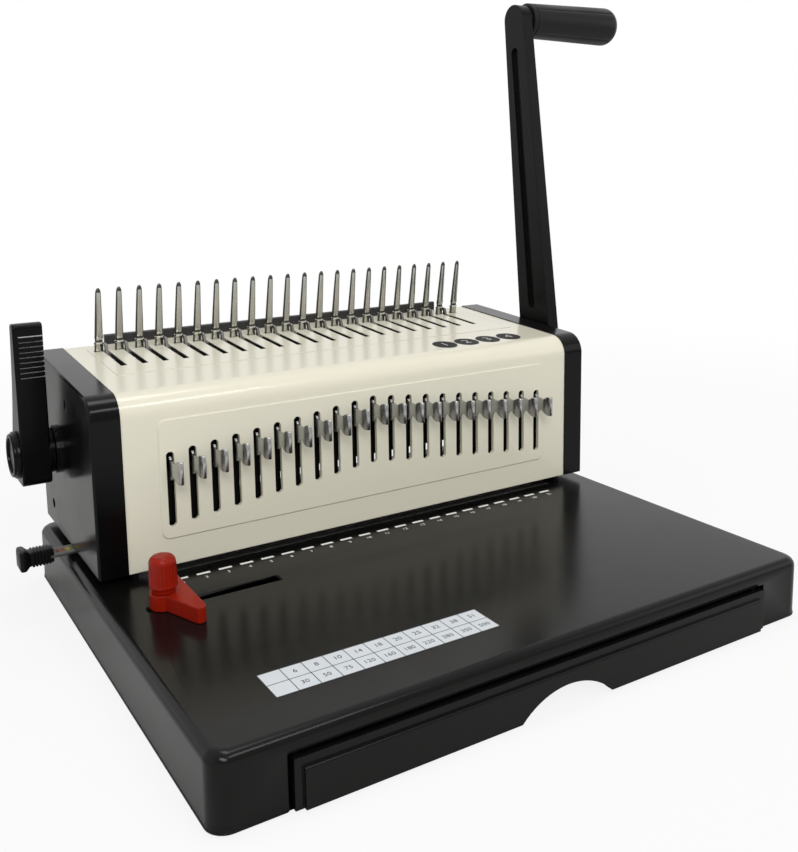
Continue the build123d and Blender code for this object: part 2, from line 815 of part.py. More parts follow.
def handle_arm():
    """Tapered flat arm with rounded ends, a long groove on both faces and a hub on its inner side."""
    left = cap_half + arm_gap
    right = left + arm_thick
    lean = Rot(0, 0, -arm_tilt)
    ends = (Circle(arm_low_radius), Pos(0, arm_length) * Circle(arm_top_radius))
    face = make_hull([edge for end in ends for edge in end.edges()])
    arm = extrude(Plane.YZ.offset(left) * Pos(shaft_y, drive_z) * lean * face, arm_thick)
    groove = Rectangle(groove_wide, groove_high - groove_low)
    for x in (left, right - groove_deep):
        plane = Plane.YZ.offset(x) * Pos(shaft_y, drive_z) * lean * Pos(0, (groove_low + groove_high) / 2)
        arm -= extrude(plane * groove, groove_deep)
    arm += prism_x(arm_hub, facets, cap_half + 0.8, left, shaft_y, drive_z)
    arm -= rod_x(drive_radius + running, left - 5, right - 2, shaft_y, drive_z)
    y, z = arm_centre(arm_length)
    return arm - rod_x(stud_radius + running, left + 3, right + 1, y, z)


def arm_bolt():
    """Domed cap over the outer end of the handle shaft."""
    bands = [(0, bolt_radius), (1.5, bolt_radius), (3.5, bolt_radius - 3)]
    return turned_x(bands, cap_half + arm_gap + arm_thick, shaft_y, drive_z)


def handle_grip():
    """Turned grip with a neck and a barrel that widens to its rounded end."""
    y, z = arm_centre(arm_length)
    start = cap_half + arm_gap + arm_thick
    root, end, length = grip_root / 2, grip_end / 2, grip_length
    corner = length - grip_round
    bands = [(grip_neck, root - 0.8), (grip_neck + 0.8, root), (corner, end), (corner + 0.5 * grip_round, end - 1.2),
             (corner + 0.87 * grip_round, end - grip_round / 2), (length, end - grip_round)]
    grip = turned_x(bands, start, y, z) + prism_x(root - 4, facets, start, start + grip_neck + 1, y, z)
    return grip - rod_x(stud_radius + running, start - 1, start + length - stud_end, y, z)


def grip_stud():
    """Steel stud that the grip turns on, riveted in the arm."""
    y, z = arm_centre(arm_length)
    left = cap_half + arm_gap
    return rod_x(stud_radius, left + 3 + seat, left + arm_thick + grip_length - stud_end - seat, y, z)


def punch_beam():
    beam = block(-frame_x + seat, frame_x - seat, beam_front, beam_back, beam_low, beam_high)
    beam += block(-frame_outer, frame_outer, beam_front + 1, beam_back - 1, tenon_low, tenon_high)
    # Lower edge follows the stepped row of punches
    beam -= outline_notch()
    cuts = []
    for i in range(1, count + 1):
        wide = tab_sheet / 2 + tab_gap
        high = slot_top(i) - tab_below_slot + tab_gap
        cuts.append(block(punch_x(i) - wide, punch_x(i) + wide, beam_front - 1, beam_back + 1,
                          high - tab_root - 2 * tab_gap, high))
    beam -= cuts
    # Racks with their teeth to the back, in front of the handle shaft
    pitch_y = shaft_y - drive_pitch
    points = [(pitch_y + w, drive_z + u) for u, w in rack_points(-rack_spare, beam_travel + rack_spare, rack_back)]
    for x in (-drive_gear_x, drive_gear_x):
        rack = outline_x(points, x - gear_thick / 2, x + gear_thick / 2)
        arm = block(x - gear_thick / 2, x + gear_thick / 2, beam_back - 1, pitch_y - 8,
                    drive_z + 2, beam_high - 4)
        beam += rack + arm
    return beam


def outline_notch():
    """Two long wedges under the beam that give its lower edge the arrow shape."""
    rise = stagger * (count - 1) / 2
    span = punch_x(count)
    face = make_face(Polyline((-span, beam_low), (0, beam_low + rise), (span, beam_low), (-span, beam_low),
                              close=True))
    return Pos(0, beam_back + 1, 0) * extrude(Plane.XZ * face, beam_thick + 2)


def punches():
    bars = []
    for i in range(1, count + 1):
        x = punch_x(i)
        step = slot_top(i) - slot_high
        high = slot_top(i) - tab_below_slot + 4
        bar = block(x - punch_wide / 2, x + punch_wide / 2, punch_y - punch_thick / 2, punch_y + punch_thick / 2,
                    punch_tip + step, high)
        wide = tab_sheet / 2 + tab_gap
        eye = slot_top(i) - tab_below_slot + tab_gap
        bar -= block(x - wide, x + wide, punch_y - punch_thick, punch_y + punch_thick,
                     eye - tab_root - 2 * tab_gap, eye)
        bars.append(bar)
    return group(bars)


def pull_tab(i):
    """Steel tab of one punch: tail in the beam, waisted grip and a rolled lip outside."""
    x = punch_x(i)
    middle = slot_top(i) - tab_below_slot - tab_root / 2
    tail, root, lip = face_y + tab_tail, face_y - 1.0, face_y - tab_reach
    waist = (root + lip) / 2
    high, neck, flare = tab_root / 2, tab_neck / 2, tab_flare / 2
    half = [(tail, high), (root, high), (root - 1.5, high - 1.5), (waist, neck), (lip, flare)]
    outline = half + [(y, -z) for y, z in reversed(half)]
    tab = outline_x([(y, middle + z) for y, z in outline], x - tab_sheet / 2, x + tab_sheet / 2)
    roll = tab_lip / 2
    side = x + tab_lip_shift
    lip_bar = block(side - roll, side + roll, lip - roll, lip + roll, middle - flare, middle + flare)
    return tab + chamfer(lip_bar.edges().filter_by(Axis.Z), tab_chamfer)


def margin_strip():
    """Sliding strip with the scale outside and two slanted slots that move the depth stop."""
    half = strip_wide / 2
    middle = (strip_low + strip_high) / 2
    strip = block(-strip_out, stop_arm_x + 20, strip_middle - half, strip_middle + half, strip_low, strip_high)
    angle = math.degrees(math.atan2(stop_travel, margin_travel))
    length = math.hypot(margin_travel, stop_travel)
    slot = Rot(0, 0, angle) * Box(length + 2 * (peg_radius + 0.1), 2 * (peg_radius + 0.1), 3 * strip_thick)
    for x in (-stop_arm_x, stop_arm_x):
        strip -= Pos(x + margin_travel / 2, strip_middle + stop_travel / 2, middle) * slot
    return strip


def margin_knob():
    """Knob pressed on the outer end of the strip, flared at its far end."""
    bands = [(0, selector_flare - 1), (1, selector_flare), (4, selector_flare), (7, selector_radius),
             (selector_length, selector_radius)]
    knob = turned_x(bands, 2 - strip_out - selector_length, strip_middle, (strip_low + strip_high) / 2)
    half = strip_wide / 2
    return knob - block(-strip_out, -strip_out + 3, strip_middle - half, strip_middle + half,
                        strip_low, strip_high)


def depth_stop():
    """Bar that the edge of the paper meets, moved in and out by the slanted slots."""
    low = base_top + seat
    front = punch_y + punch_thick / 2 + margin_least
    bar = block(-stop_half, stop_half, front, front + stop_bar, low, cover_low - seat)
    for x in (-stop_arm_x, stop_arm_x):
        wide = stop_arm_wide / 2
        bar += block(x - wide, x + wide, front, strip_middle + wide, low, low + stop_thick)
        peg = Plane.XY.offset(under) * Pos(x, strip_middle) * RegularPolygon(peg_radius, few_facets)
        bar += extrude(peg, strip_high - under)
    return bar


def edge_guide():
    """Side guide: round boss under the knob and a flat arm that narrows to its tip."""
    x, y = guide_x, face_y + guide_y
    side, tip = guide_stop_x, face_y + guide_y - guide_arm
    low = Plane.XY.offset(base_top + seat)
    plan = Polyline((x - 1, y - guide_boss), (side - 2 * guide_tip, tip + 1), (side - guide_tip, tip),
                    (side - 1, tip + 1), (side, tip + guide_tip), (side, y + guide_tail), (side - 2, y + guide_tail),
                    (x, y + guide_boss - 1), close=True)
    boss = low * Pos(x, y) * RegularPolygon(guide_boss, facets)
    foot = extrude(low * make_face(plan), guide_foot) + extrude(boss, guide_foot)
    return foot - rod_z(clamp_radius + running, x, y, base_top, base_top + guide_foot + 1)


def clamp_bolt():
    """Square head under the table with a stud up through the slot, the guide and into the knob."""
    x, y = guide_x, face_y + guide_y
    high = under - seat
    head = block(x - bolt_head, x + bolt_head, y - bolt_head, y + bolt_head, high - bolt_thick, high)
    return head + rod_z(clamp_radius, x, y, high - 1, knob_low + knob_height - knob_roof)


def clamp_knob():
    """Ribbed knob with a domed top that tightens on the stud of the clamp bolt."""
    x, y = guide_x, face_y + guide_y
    rim = []
    for k in range(2 * knob_ribs):
        angle = math.pi * k / knob_ribs
        radius = knob_radius - rib_height * (k % 2)
        rim.append((radius * math.cos(angle), radius * math.sin(angle)))
    shoulder = knob_height - knob_dome
    body = extrude(Plane.XY.offset(knob_collar) * make_face(Polyline(*rim, close=True)), shoulder - knob_collar)
    body += extrude(RegularPolygon(knob_collar_radius, 2 * knob_ribs), knob_collar + 1)
    bands = ((shoulder, knob_radius - rib_height), (knob_height - 1.2, knob_radius - 2.2),
             (knob_height, knob_radius - 4.5))
    dome = loft([Plane.XY.offset(up) * RegularPolygon(radius, knob_ribs) for up, radius in bands], ruled=True)
    knob = Pos(x, y, knob_low) * (body + dome)
    return knob - rod_z(clamp_radius + running, x, y, knob_low - 1, knob_low + knob_height - knob_roof + seat)


def return_spring():
    """Torsion spring around the handle shaft, beside the right frame, its turns in short straights."""
    step = spring_wire + spring_gap
    start_x = frame_x - seat - spring_wire / 2 - step * spring_turns
    radius = drive_radius + 4 * seat + spring_wire / 2
    points = []
    for k in range(spring_turns * spring_steps + 1):
        angle = 2 * math.pi * k / spring_steps
        points.append((start_x + step * k / spring_steps, shaft_y + radius * math.cos(angle),
                       drive_z + radius * math.sin(angle)))
    path = Polyline(*points)
    section = Plane(origin=path @ 0, x_dir=(1, 0, 0), z_dir=path % 0) * Rectangle(spring_wire, spring_wire)
    return sweep(section, path, transition=Transition.RIGHT)


parts = {
    "base_shell": base_shell,
    "rubber_feet": rubber_feet,
    "base_pan": base_pan,
    "drawer_runners": drawer_runners,
    "chip_drawer": chip_drawer,
    "die_plate": die_plate,
    "punch_guide": punch_guide,
    "right_side_frame": side_frame,
    "left_side_frame": lambda: mirror_x(side_frame()),
    "shaft_bushes": shaft_bushes,
    "housing_cover": housing_cover,
    "right_end_cap": right_end_cap,
    "left_end_cap": left_end_cap,
    "cap_screws": cap_screws,
    "rear_cover": rear_cover,
    "rear_rail": rear_rail,
    "pin_bar": pin_bar,
    "comb_pins": comb_pins,
    "hook_plate": hook_plate,
    "opener_shaft": opener_shaft,
    "opener_gears": opener_gears,
    "opener_lever": opener_lever,
    "lever_hub_cap": lever_hub_cap,
    "handle_shaft": handle_shaft,
    "drive_gears": drive_gears,
    "return_spring": return_spring,
    "handle_arm": handle_arm,
    "arm_bolt": arm_bolt,
    "handle_grip": handle_grip,
    "grip_stud": grip_stud,
    "punch_beam": punch_beam,
    "punches": punches,
    "margin_strip": margin_strip,
    "margin_knob": margin_knob,
    "depth_stop": depth_stop,
    "edge_guide": edge_guide,
    "clamp_knob": clamp_knob,
    "clamp_bolt": clamp_bolt,
}

os.makedirs("parts", exist_ok=True)
for name, make in parts.items():
    export_step(make(), f"parts/{name}.step")
for i in range(1, count + 1):
    export_step(pull_tab(i), f"parts/pull_tab_{i:02d}.step")
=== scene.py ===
import json
import math

import bmesh
import bpy
from mathutils import Matrix, Vector


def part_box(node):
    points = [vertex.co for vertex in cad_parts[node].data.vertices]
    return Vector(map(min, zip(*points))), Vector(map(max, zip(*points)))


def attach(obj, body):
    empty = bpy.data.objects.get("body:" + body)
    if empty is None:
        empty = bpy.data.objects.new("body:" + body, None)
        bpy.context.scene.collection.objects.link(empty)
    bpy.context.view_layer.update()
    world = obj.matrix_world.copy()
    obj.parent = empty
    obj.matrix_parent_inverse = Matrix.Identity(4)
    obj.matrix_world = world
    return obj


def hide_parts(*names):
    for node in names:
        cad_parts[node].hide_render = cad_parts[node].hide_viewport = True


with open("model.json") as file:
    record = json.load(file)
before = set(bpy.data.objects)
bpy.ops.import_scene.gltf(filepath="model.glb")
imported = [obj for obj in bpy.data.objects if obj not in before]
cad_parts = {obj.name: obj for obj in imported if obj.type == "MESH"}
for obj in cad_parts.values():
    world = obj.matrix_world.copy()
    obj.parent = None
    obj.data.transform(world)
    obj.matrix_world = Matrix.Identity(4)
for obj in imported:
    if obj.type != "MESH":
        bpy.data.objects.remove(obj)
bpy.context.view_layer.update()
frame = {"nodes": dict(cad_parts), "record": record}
nodes = frame["nodes"]
mm = 0.001
to_metres, to_mm = Matrix.Scale(mm, 4), Matrix.Scale(1 / mm, 4)

# Places that the pieces share, in millimetres, as the solids have them
face_y = 30.0
front_top, top_slope = 153.0, 0.065
punches, pitch = 21, 14.2875
pin_half = 2.8
table_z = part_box("die_plate")[1].z / mm


def top_at(y):
    """Height of the cover's top, which rises a little to the back."""
    return front_top + top_slope * (y - face_y)


def punch_at(i):
    """Place of a punch along the machine, counted from 1 at the left."""
    return (i - (punches + 1) / 2) * pitch


def centre_of(node):
    """Middle, lower corner and upper corner of a node's box."""
    lo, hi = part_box(node)
    return (lo + hi) / 2 / mm, lo / mm, hi / mm


def corners(node):
    """Lower and upper corner of a node's box."""
    return centre_of(node)[1:]


def pins_along():
    """Places of the comb pins along the machine, one more than there are punches."""
    lo, hi = corners("comb_pins")
    step = (hi.x - lo.x - 2 * pin_half) / punches
    return [lo.x + pin_half + j * step for j in range(punches + 1)]


# Materials; lengths are given in metres

def mapped(tree, value, low, high, to_low, to_high=1.0):
    """Smooth step of a node's value from one range to another."""
    step = tree.nodes.new("ShaderNodeMapRange")
    step.interpolation_type = "SMOOTHSTEP"
    for socket, number in (("From Min", low), ("From Max", high), ("To Min", to_low), ("To Max", to_high)):
        step.inputs[socket].default_value = number
    tree.links.new(value, step.inputs["Value"])
    return step.outputs["Result"]


def combined(tree, operation, a, b):
    """One value from two node outputs."""
    n = tree.nodes.new("ShaderNodeMath")
    n.operation = operation
    tree.links.new(a, n.inputs[0])
    tree.links.new(b, n.inputs[1])
    return n.outputs["Value"]


def put_out(tree, share, a, b, output):
    """Mixes two shaders by a share and leads them to the output node."""
    mix = tree.nodes.new("ShaderNodeMixShader")
    tree.links.new(share, mix.inputs["Fac"])
    tree.links.new(a, mix.inputs[1])
    tree.links.new(b, mix.inputs[2])
    tree.links.new(mix.outputs["Shader"], tree.nodes[output].inputs["Surface"])


def material(name, colour, rough, metal=0.0, mottle=0.2, mottle_scale=90.0, grain=900.0, bump=0.1,
             stretch=(1, 1, 1), spec=0.5, round_edge=0.0004, uneven=0.06):
    """Procedural finish: mottled colour, uneven gloss, fine grain and slightly rounded edges."""
    m = bpy.data.materials.new(name)
    m.use_nodes = True
    tree = m.node_tree
    link = tree.links.new
    shader = tree.nodes["Principled BSDF"]
    shader.inputs["Metallic"].default_value = metal
    shader.inputs["Specular IOR Level"].default_value = spec
    place = tree.nodes.new("ShaderNodeTexCoord")
    scale = tree.nodes.new("ShaderNodeMapping")
    scale.inputs["Scale"].default_value = stretch
    link(place.outputs["Object"], scale.inputs["Vector"])

    def noise(size, detail):
        n = tree.nodes.new("ShaderNodeTexNoise")
        n.inputs["Scale"].default_value = size
        n.inputs["Detail"].default_value = detail
        link(scale.outputs["Vector"], n.inputs["Vector"])
        return n.outputs["Fac"]

    cloud = noise(mottle_scale, 4.0)
    mix = tree.nodes.new("ShaderNodeMix")
    mix.data_type = "RGBA"
    mix.inputs["A"].default_value = (*[c * (1 - mottle) for c in colour], 1)
    mix.inputs["B"].default_value = (*[min(1, c * (1 + mottle)) for c in colour], 1)
    link(cloud, mix.inputs["Factor"])
    link(mix.outputs["Result"], shader.inputs["Base Color"])
    wide_cloud = noise(mottle_scale * 0.4, 3.0)
    gloss = mapped(tree, wide_cloud, 0.3, 0.7, max(0.02, rough - uneven), rough + uneven)
    link(gloss, shader.inputs["Roughness"])
    edge = tree.nodes.new("ShaderNodeBevel")
    edge.samples = 4
    edge.inputs["Radius"].default_value = round_edge
    fine = tree.nodes.new("ShaderNodeBump")
    fine.inputs["Strength"].default_value = bump
    fine.inputs["Distance"].default_value = 0.0002
    link(noise(grain, 2.0), fine.inputs["Height"])
    link(edge.outputs["Normal"], fine.inputs["Normal"])
    link(fine.outputs["Normal"], shader.inputs["Normal"])
    return m


def print_ink(name, colour, rough, mottle, grain=900.0):
    """Finish of flat print."""
    return material(name, colour, rough, mottle=mottle, grain=grain, bump=0.05, round_edge=0.00002)


cream = material("cream_enamel", (0.80, 0.768, 0.63), 0.20, mottle=0.012, mottle_scale=25, grain=1400,
                 bump=0.03, round_edge=0.0007, uneven=0.02)
table_black = material("black_table_enamel", (0.0045, 0.0045, 0.0043), 0.2, mottle_scale=40, grain=1500,
                       bump=0.04, spec=0.185, round_edge=0.0006, uneven=0.03)
# Painted highlight: the lever's ribs get a lighter, much glossier copy of its black moulding, so that their
# crests show bright lines
rib_highlight = material("rib_painted_highlight", (0.012, 0.012, 0.012), 0.22, mottle=0.1, grain=2200, bump=0.02,
                     spec=0.9, round_edge=0.0001, uneven=0.02)
cap_black = material("black_cap_gloss", (0.0025, 0.0025, 0.0025), 0.18, grain=1500, bump=0.04, spec=0.17,
                     round_edge=0.0008, uneven=0.03)
arm_black = material("black_arm_paint", (0.005, 0.005, 0.005), 0.3, grain=1800, spec=0.13,
                     round_edge=0.0008, uneven=0.04)
moulded = material("black_moulding", (0.0015, 0.0015, 0.0015), 0.24, grain=2200, bump=0.05, spec=0.13,
                   round_edge=0.0006, uneven=0.04)
grip_black = material("grip_moulding", (0.008, 0.008, 0.008), 0.4, mottle=0.15, grain=2600, bump=0.25,
                      spec=0.22, round_edge=0.0006)
rubber = material("foot_rubber", (0.012, 0.012, 0.012), 0.8, grain=2000, bump=0.3, spec=0.2)
steel = material("polished_steel", (0.48, 0.48, 0.455), 0.2, metal=1.0, mottle_scale=120, grain=500,
                 stretch=(1, 1, 0.25), round_edge=0.0003)
pressed = material("nickel_tab", (0.455, 0.46, 0.465), 0.22, metal=1.0, mottle=0.15, mottle_scale=150,
                   grain=700, bump=0.12, stretch=(1, 0.3, 1))
inner_steel = material("inner_steel", (0.20, 0.20, 0.195), 0.42, metal=1.0, mottle=0.15, grain=600,
                       bump=0.15, stretch=(0.2, 1, 1))
# Painted shade: near-black steel for the parts inside the housing, standing for the shade in there
inner_shade = material("inner_steel_painted_shade", (0.02, 0.02, 0.02), 0.5, metal=1.0, grain=600, bump=0.15)
bronze = material("sintered_bronze", (0.50, 0.33, 0.16), 0.45, metal=1.0, grain=1200, bump=0.25)
red = material("red_moulding", (0.285, 0.011, 0.003), 0.28, mottle=0.08, mottle_scale=60, grain=1500,
               bump=0.05, spec=0.14, round_edge=0.0012, uneven=0.04)
white_ink = print_ink("white_print", (0.86, 0.86, 0.84), 0.5, 0.05, 1500)
disc_ink = print_ink("disc_print", (0.45, 0.45, 0.43), 0.5, 0.05, 1500)
card_white = print_ink("chart_card", (0.70, 0.74, 0.78), 0.45, 0.03)
label_grey = print_ink("margin_card", (0.20, 0.20, 0.19), 0.5, 0.1)
ink = print_ink("dark_print", (0.03, 0.035, 0.05), 0.55, 0.1)
disc_black = material("dark_disc", (0.018, 0.018, 0.017), 0.55, spec=0.1, round_edge=0.0001)
# Painted shade and painted highlight for the comb pins: a dark steel and a near-white steel
pin_shade = material("pin_painted_shade_steel", (0.09, 0.09, 0.085), 0.3, metal=1.0, grain=700, round_edge=0.0001)
pin_highlight = material("pin_painted_highlight_steel", (0.86, 0.85, 0.82), 0.35, metal=1.0, mottle=0.08, grain=700,
                      round_edge=0.0001)
rail_grey = material("rail_paint", (0.03, 0.03, 0.03), 0.4, mottle=0.15, grain=1500)
field_inks = [print_ink(f"scale_{name}", colour, 0.5, 0.08) for name, colour in (
    ("red", (0.22, 0.02, 0.015)), ("orange", (0.30, 0.09, 0.01)), ("yellow", (0.50, 0.38, 0.03)),
    ("green", (0.14, 0.20, 0.05)))]

finish_of = {
    "cream_paint": cream, "black_gloss": table_black, "black_paint": arm_black, "grey_steel": inner_steel,
    "bright_steel": steel, "bronze": bronze, "red_plastic": red, "grip_plastic": grip_black,
    "foot_rubber": rubber,
}
# Finishes of given nodes; the parts inside the housing take the near-black steel as painted shade
special = {
    "right_end_cap": cap_black, "left_end_cap": cap_black, "rear_rail": rail_grey, "rear_cover": arm_black,
    "opener_lever": moulded, "lever_hub_cap": moulded, "margin_knob": moulded, "hook_plate": inner_steel,
    "punch_beam": inner_shade, "punch_guide": inner_shade, "punches": inner_shade,
    "left_side_frame": inner_shade, "right_side_frame": inner_shade, "drive_gears": inner_shade,
    "opener_gears": inner_shade,
}


def dress(obj, finish):
    obj.data.materials.clear()
    obj.data.materials.append(finish)


slots = {s["node"]: s["material_slot"] for s in frame["record"]["subparts"]}
for name, obj in nodes.items():
    finish = pressed if name.startswith("pull_tab") else special.get(name, finish_of[slots[name]])
    dress(obj, finish)
    obj.data.shade_smooth()
    obj.data.set_sharp_from_angle(angle=math.radians(32))


# Mesh tools; from here on lengths are given in millimetres

def placed(name, bm):
    """Object in the scene from a finished bmesh."""
    bmesh.ops.recalc_face_normals(bm, faces=bm.faces)
    mesh = bpy.data.meshes.new(name)
    bm.to_mesh(mesh)
    bm.free()
    mesh.transform(to_metres)
    obj = bpy.data.objects.new(name, mesh)
    bpy.context.scene.collection.objects.link(obj)
    return obj


def piece(name, bm, finish, body, stands_for=None, angle=32, bevel=0.0):
    """Visible object from a bmesh, riding on a body and the node it stands for."""
    bmesh.ops.remove_doubles(bm, verts=bm.verts, dist=1e-4)
    obj = placed(name, bm)
    dress(obj, finish)
    obj.data.shade_smooth()
    if bevel:
        mod = obj.modifiers.new("edges", "BEVEL")
        mod.width = bevel * mm
        mod.segments = 3
        mod.limit_method = "ANGLE"
        mod.angle_limit = math.radians(28)
        obj.modifiers.new("normals", "WEIGHTED_NORMAL").keep_sharp = True
    else:
        obj.data.set_sharp_from_angle(angle=math.radians(angle))
    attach(obj, body)
    if stands_for:
        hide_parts(stands_for)
    return obj


def loose(bm):
    """Bare object, used only as a cutter or before a cut."""
    return placed("tool", bm)


def cut(obj, cutters):
    """Takes each cutter out of the object with an exact boolean, as a bmesh, and removes them all."""
    for cutter in cutters:
        mod = obj.modifiers.new("cut", "BOOLEAN")
        mod.operation = "DIFFERENCE"
        mod.solver = "EXACT"
        mod.object = cutter
    shown = bpy.context.evaluated_depsgraph_get()
    whole = obj.evaluated_get(shown)
    bm = bmesh.new()
    bm.from_mesh(whole.to_mesh())
    for cutter in cutters:
        bpy.data.objects.remove(cutter)
    bpy.data.objects.remove(obj)
    bmesh.ops.transform(bm, matrix=to_mm, verts=bm.verts)
    return bm


def prism(bm, outline, x0, x1):
    """Solid along X from a closed outline of (y, z) points."""
    ends = [[bm.verts.new((x, y, z)) for y, z in outline] for x in (x0, x1)]
    bm.faces.new(list(reversed(ends[0])))
    bm.faces.new(ends[1])
    n = len(outline)
    for k in range(n):
        bm.faces.new((ends[0][k], ends[0][(k + 1) % n], ends[1][(k + 1) % n], ends[1][k]))


def box(bm, x0, x1, y0, y1, z0, z1):
    prism(bm, [(y0, z0), (y1, z0), (y1, z1), (y0, z1)], x0, x1)


def skin(bm, loops):
    """Joins rings of points, one after another, and closes both ends."""
    rings = [[bm.verts.new(p) for p in loop] for loop in loops]
    n = len(rings[0])
    for a, b in zip(rings, rings[1:]):
        for k in range(n):
            bm.faces.new((a[k], a[(k + 1) % n], b[(k + 1) % n], b[k]))
    bm.faces.new(list(reversed(rings[0])))
    bm.faces.new(rings[-1])


def lathe(bm, profile, origin, axis="X", turns=64, wave=None):
    """Turned form: profile of (length, radius) along an axis; wave changes the radius with the angle."""
    loops = []
    for along, radius in profile:
        ring = []
        for k in range(turns):
            a = 2 * math.pi * k / turns
            r = radius if wave is None else wave(along, radius, a)
            across, up = r * math.cos(a), r * math.sin(a)
            p = (along, across, up) if axis == "X" else (across, up, along)
            ring.append(tuple(o + q for o, q in zip(origin, p)))
        loops.append(ring)
    skin(bm, loops)


def arc(cx, cy, radius, start, stop, steps):
    """Points on an arc, angles in degrees."""
    out = []
    for k in range(steps + 1):
        a = math.radians(start + (stop - start) * k / steps)
        out.append((cx + radius * math.cos(a), cy + radius * math.sin(a)))
    return out


def ease(a, b, t):
    return a + (b - a) * (0.5 - 0.5 * math.cos(math.pi * t))


# Pull tabs: waisted plate, bent a little aside, whose outer end is rolled over to the right

def height_at(y, knots):
    """Eased height between the given (depth, height) points, which run from the back to the front."""
    for (a, p), (b, q) in zip(knots, knots[1:]):
        if y >= b:
            return ease(p, q, (a - y) / (a - b))
    return knots[-1][1]


def pull_tab(i):
    node, body = f"pull_tab_{i:02d}", f"tab_{i:02d}"
    middle, lo, hi = centre_of(node)
    z, half = middle.z, (hi.z - lo.z) / 2
    plate_left, plate_right = punch_at(i) - 0.9, punch_at(i) + 0.6
    root, bend_from, bend = face_y - 1.0, face_y - 9.0, 1.15
    roll, hollow = 1.35, 0.6
    lip = lo.y + roll
    waist, steps = root - 2.0, 18
    top = [(hi.y, half), (root, half), (root - 1.4, half - 1.4), (waist, half - 1.7), (face_y - 9.6, 5.2),
           (lip + 1.2, 7.5), (lip, 7.3)]
    low = [(hi.y, -half), (root - 1.0, -half), (root - 1.4, -half + 0.4), (face_y - 6.8, -3.5),
           (lip + 1.4, -6.9), (lip, -6.8)]
    stations = [hi.y, root, root - 1.0, root - 1.4, waist]
    stations += [waist - (waist - lip) * k / steps for k in range(1, steps + 1)]
    loops = []
    for y in stations:
        aside = bend * max(0.0, (bend_from - y) / (bend_from - lip)) ** 2
        left, right = plate_left + aside, plate_right + aside
        up, down = z + height_at(y, top), z + height_at(y, low)
        loops.append([(left, y, down), (right, y, down), (right, y, up), (left, y, up)])
    bm = bmesh.new()
    skin(bm, loops)
    piece(f"tab_plate_{i:02d}", bm, pressed, body, node, bevel=0.3)

    roll_x, start, stop, steps = plate_left + bend + roll, 175, 505, 22
    loops = []
    for rise, shrink in ((-6.7, 0.2), (-6.4, 0.0), (6.9, 0.0), (7.2, 0.2)):
        outer = arc(roll_x, lip, roll - shrink, start, stop, steps)
        inner = arc(roll_x, lip, hollow + shrink, stop, start, steps)
        loops.append([(u, v, z + rise) for u, v in outer + inner])
    bm = bmesh.new()
    skin(bm, loops)
    piece(f"tab_roll_{i:02d}", bm, pressed, body, angle=45)


for i in range(1, punches + 1):
    pull_tab(i)


# Comb pins: foot, collar and a tapered blade with a rounded tip, all leaning to the front

def comb_pins():
    pin_y, height, lean, corner_share = face_y + 118.5, 45.4, 7.5, 0.55
    surface = top_at(pin_y)
    root = corners("comb_pins")[0].z - surface
    # Height over the cover, half width and half thickness
    levels = [(root, 2.5, 1.3), (0.0, 2.85, 1.4), (5.2, 2.9, 1.45), (5.6, 3.2, 1.8),
              (6.7, 3.2, 1.8), (6.9, 2.7, 1.3), (8.4, 2.5, 1.0), (9.4, 2.7, 1.35), (10.4, 2.8, 1.6),
              (12.0, 2.7, 1.35), (20, 2.5, 1.27), (30, 2.2, 1.15), (38, 1.95, 1.08), (42.2, 1.8, 1.0),
              (43.6, 1.55, 0.9), (44.6, 1.15, 0.7), (45.2, 0.7, 0.5), (height, 0.3, 0.2)]
    bm = bmesh.new()
    for x in pins_along():
        loops = []
        for z, w, t in levels:
            y = pin_y - lean * max(0.0, z) / height
            c = min(w, t) * corner_share
            ring = [(w, t - c), (w - c, t), (-w + c, t), (-w, t - c), (-w, -t + c), (-w + c, -t),
                    (w - c, -t), (w, -t + c)]
            loops.append([(x + a, y + b, surface + z) for a, b in ring])
        skin(bm, loops)
    row = piece("comb_pin_row", bm, steel, "housing", "comb_pins", angle=50)
    row.data.materials.append(pin_shade)
    row.data.materials.append(pin_highlight)
    # Painted shade: faces on the pins' sides and in the hollow of the neck take the dark steel, and the tips
    # are darkened with it too; painted highlight: the collar's band takes the near-white steel
    for face in row.data.polygons:
        rise = face.center.z / mm - surface
        at_tip, shaded_side, shaded_neck = rise > 42.6, abs(face.normal.x) > 0.55, 7.2 < rise < 8.8
        if at_tip or shaded_side or shaded_neck:
            face.material_index = 1
        elif 5.5 < rise < 6.9:
            face.material_index = 2


comb_pins()


# Slots in the cover's top: thin dark sheets inside their edges as painted shade, and the bars of the hooks
# that lie in them

def hook_bars():
    beside_pin, slot_half, sheet = 4.5, 2.1, 2.0
    slot_front, slot_back = face_y + 72.7, face_y + 112.0
    over, into, under = 0.05, 0.14, 0.12
    bar_front, bar_back, bar_half = slot_front + 26.0, face_y + 113.0, 1.5
    sunk, bar_deep = 1.85, 2.6

    def sloped(front, back, low, high):
        """Section that follows the cover's top, between two depths under it."""
        return [(front, top_at(front) - low), (back, top_at(back) - low), (back, top_at(back) - high),
                (front, top_at(front) - high)]

    bars, edges = bmesh.new(), bmesh.new()
    for pin_x in pins_along()[:-1]:
        x = pin_x + beside_pin
        prism(bars, sloped(bar_front, bar_back, sunk + bar_deep, sunk), x - bar_half, x + bar_half)
        # Painted shade: thin dark sheets just inside each slot's walls and front end, so that the slot looks
        # dark inside
        for side in (-1, 1):
            a, b = sorted((x + side * (slot_half - into), x + side * (slot_half + over)))
            prism(edges, sloped(slot_front, slot_back, sheet, under), a, b)
        prism(edges, sloped(slot_front - over, slot_front + into, sheet, under), x - slot_half, x + slot_half)
    piece("hook_bars", bars, pressed, "hooks", bevel=0.25)
    piece("slot_painted_shade", edges, arm_black, "housing")


hook_bars()


# Handle: tapered arm with a round-ended groove on both faces, grip and cap

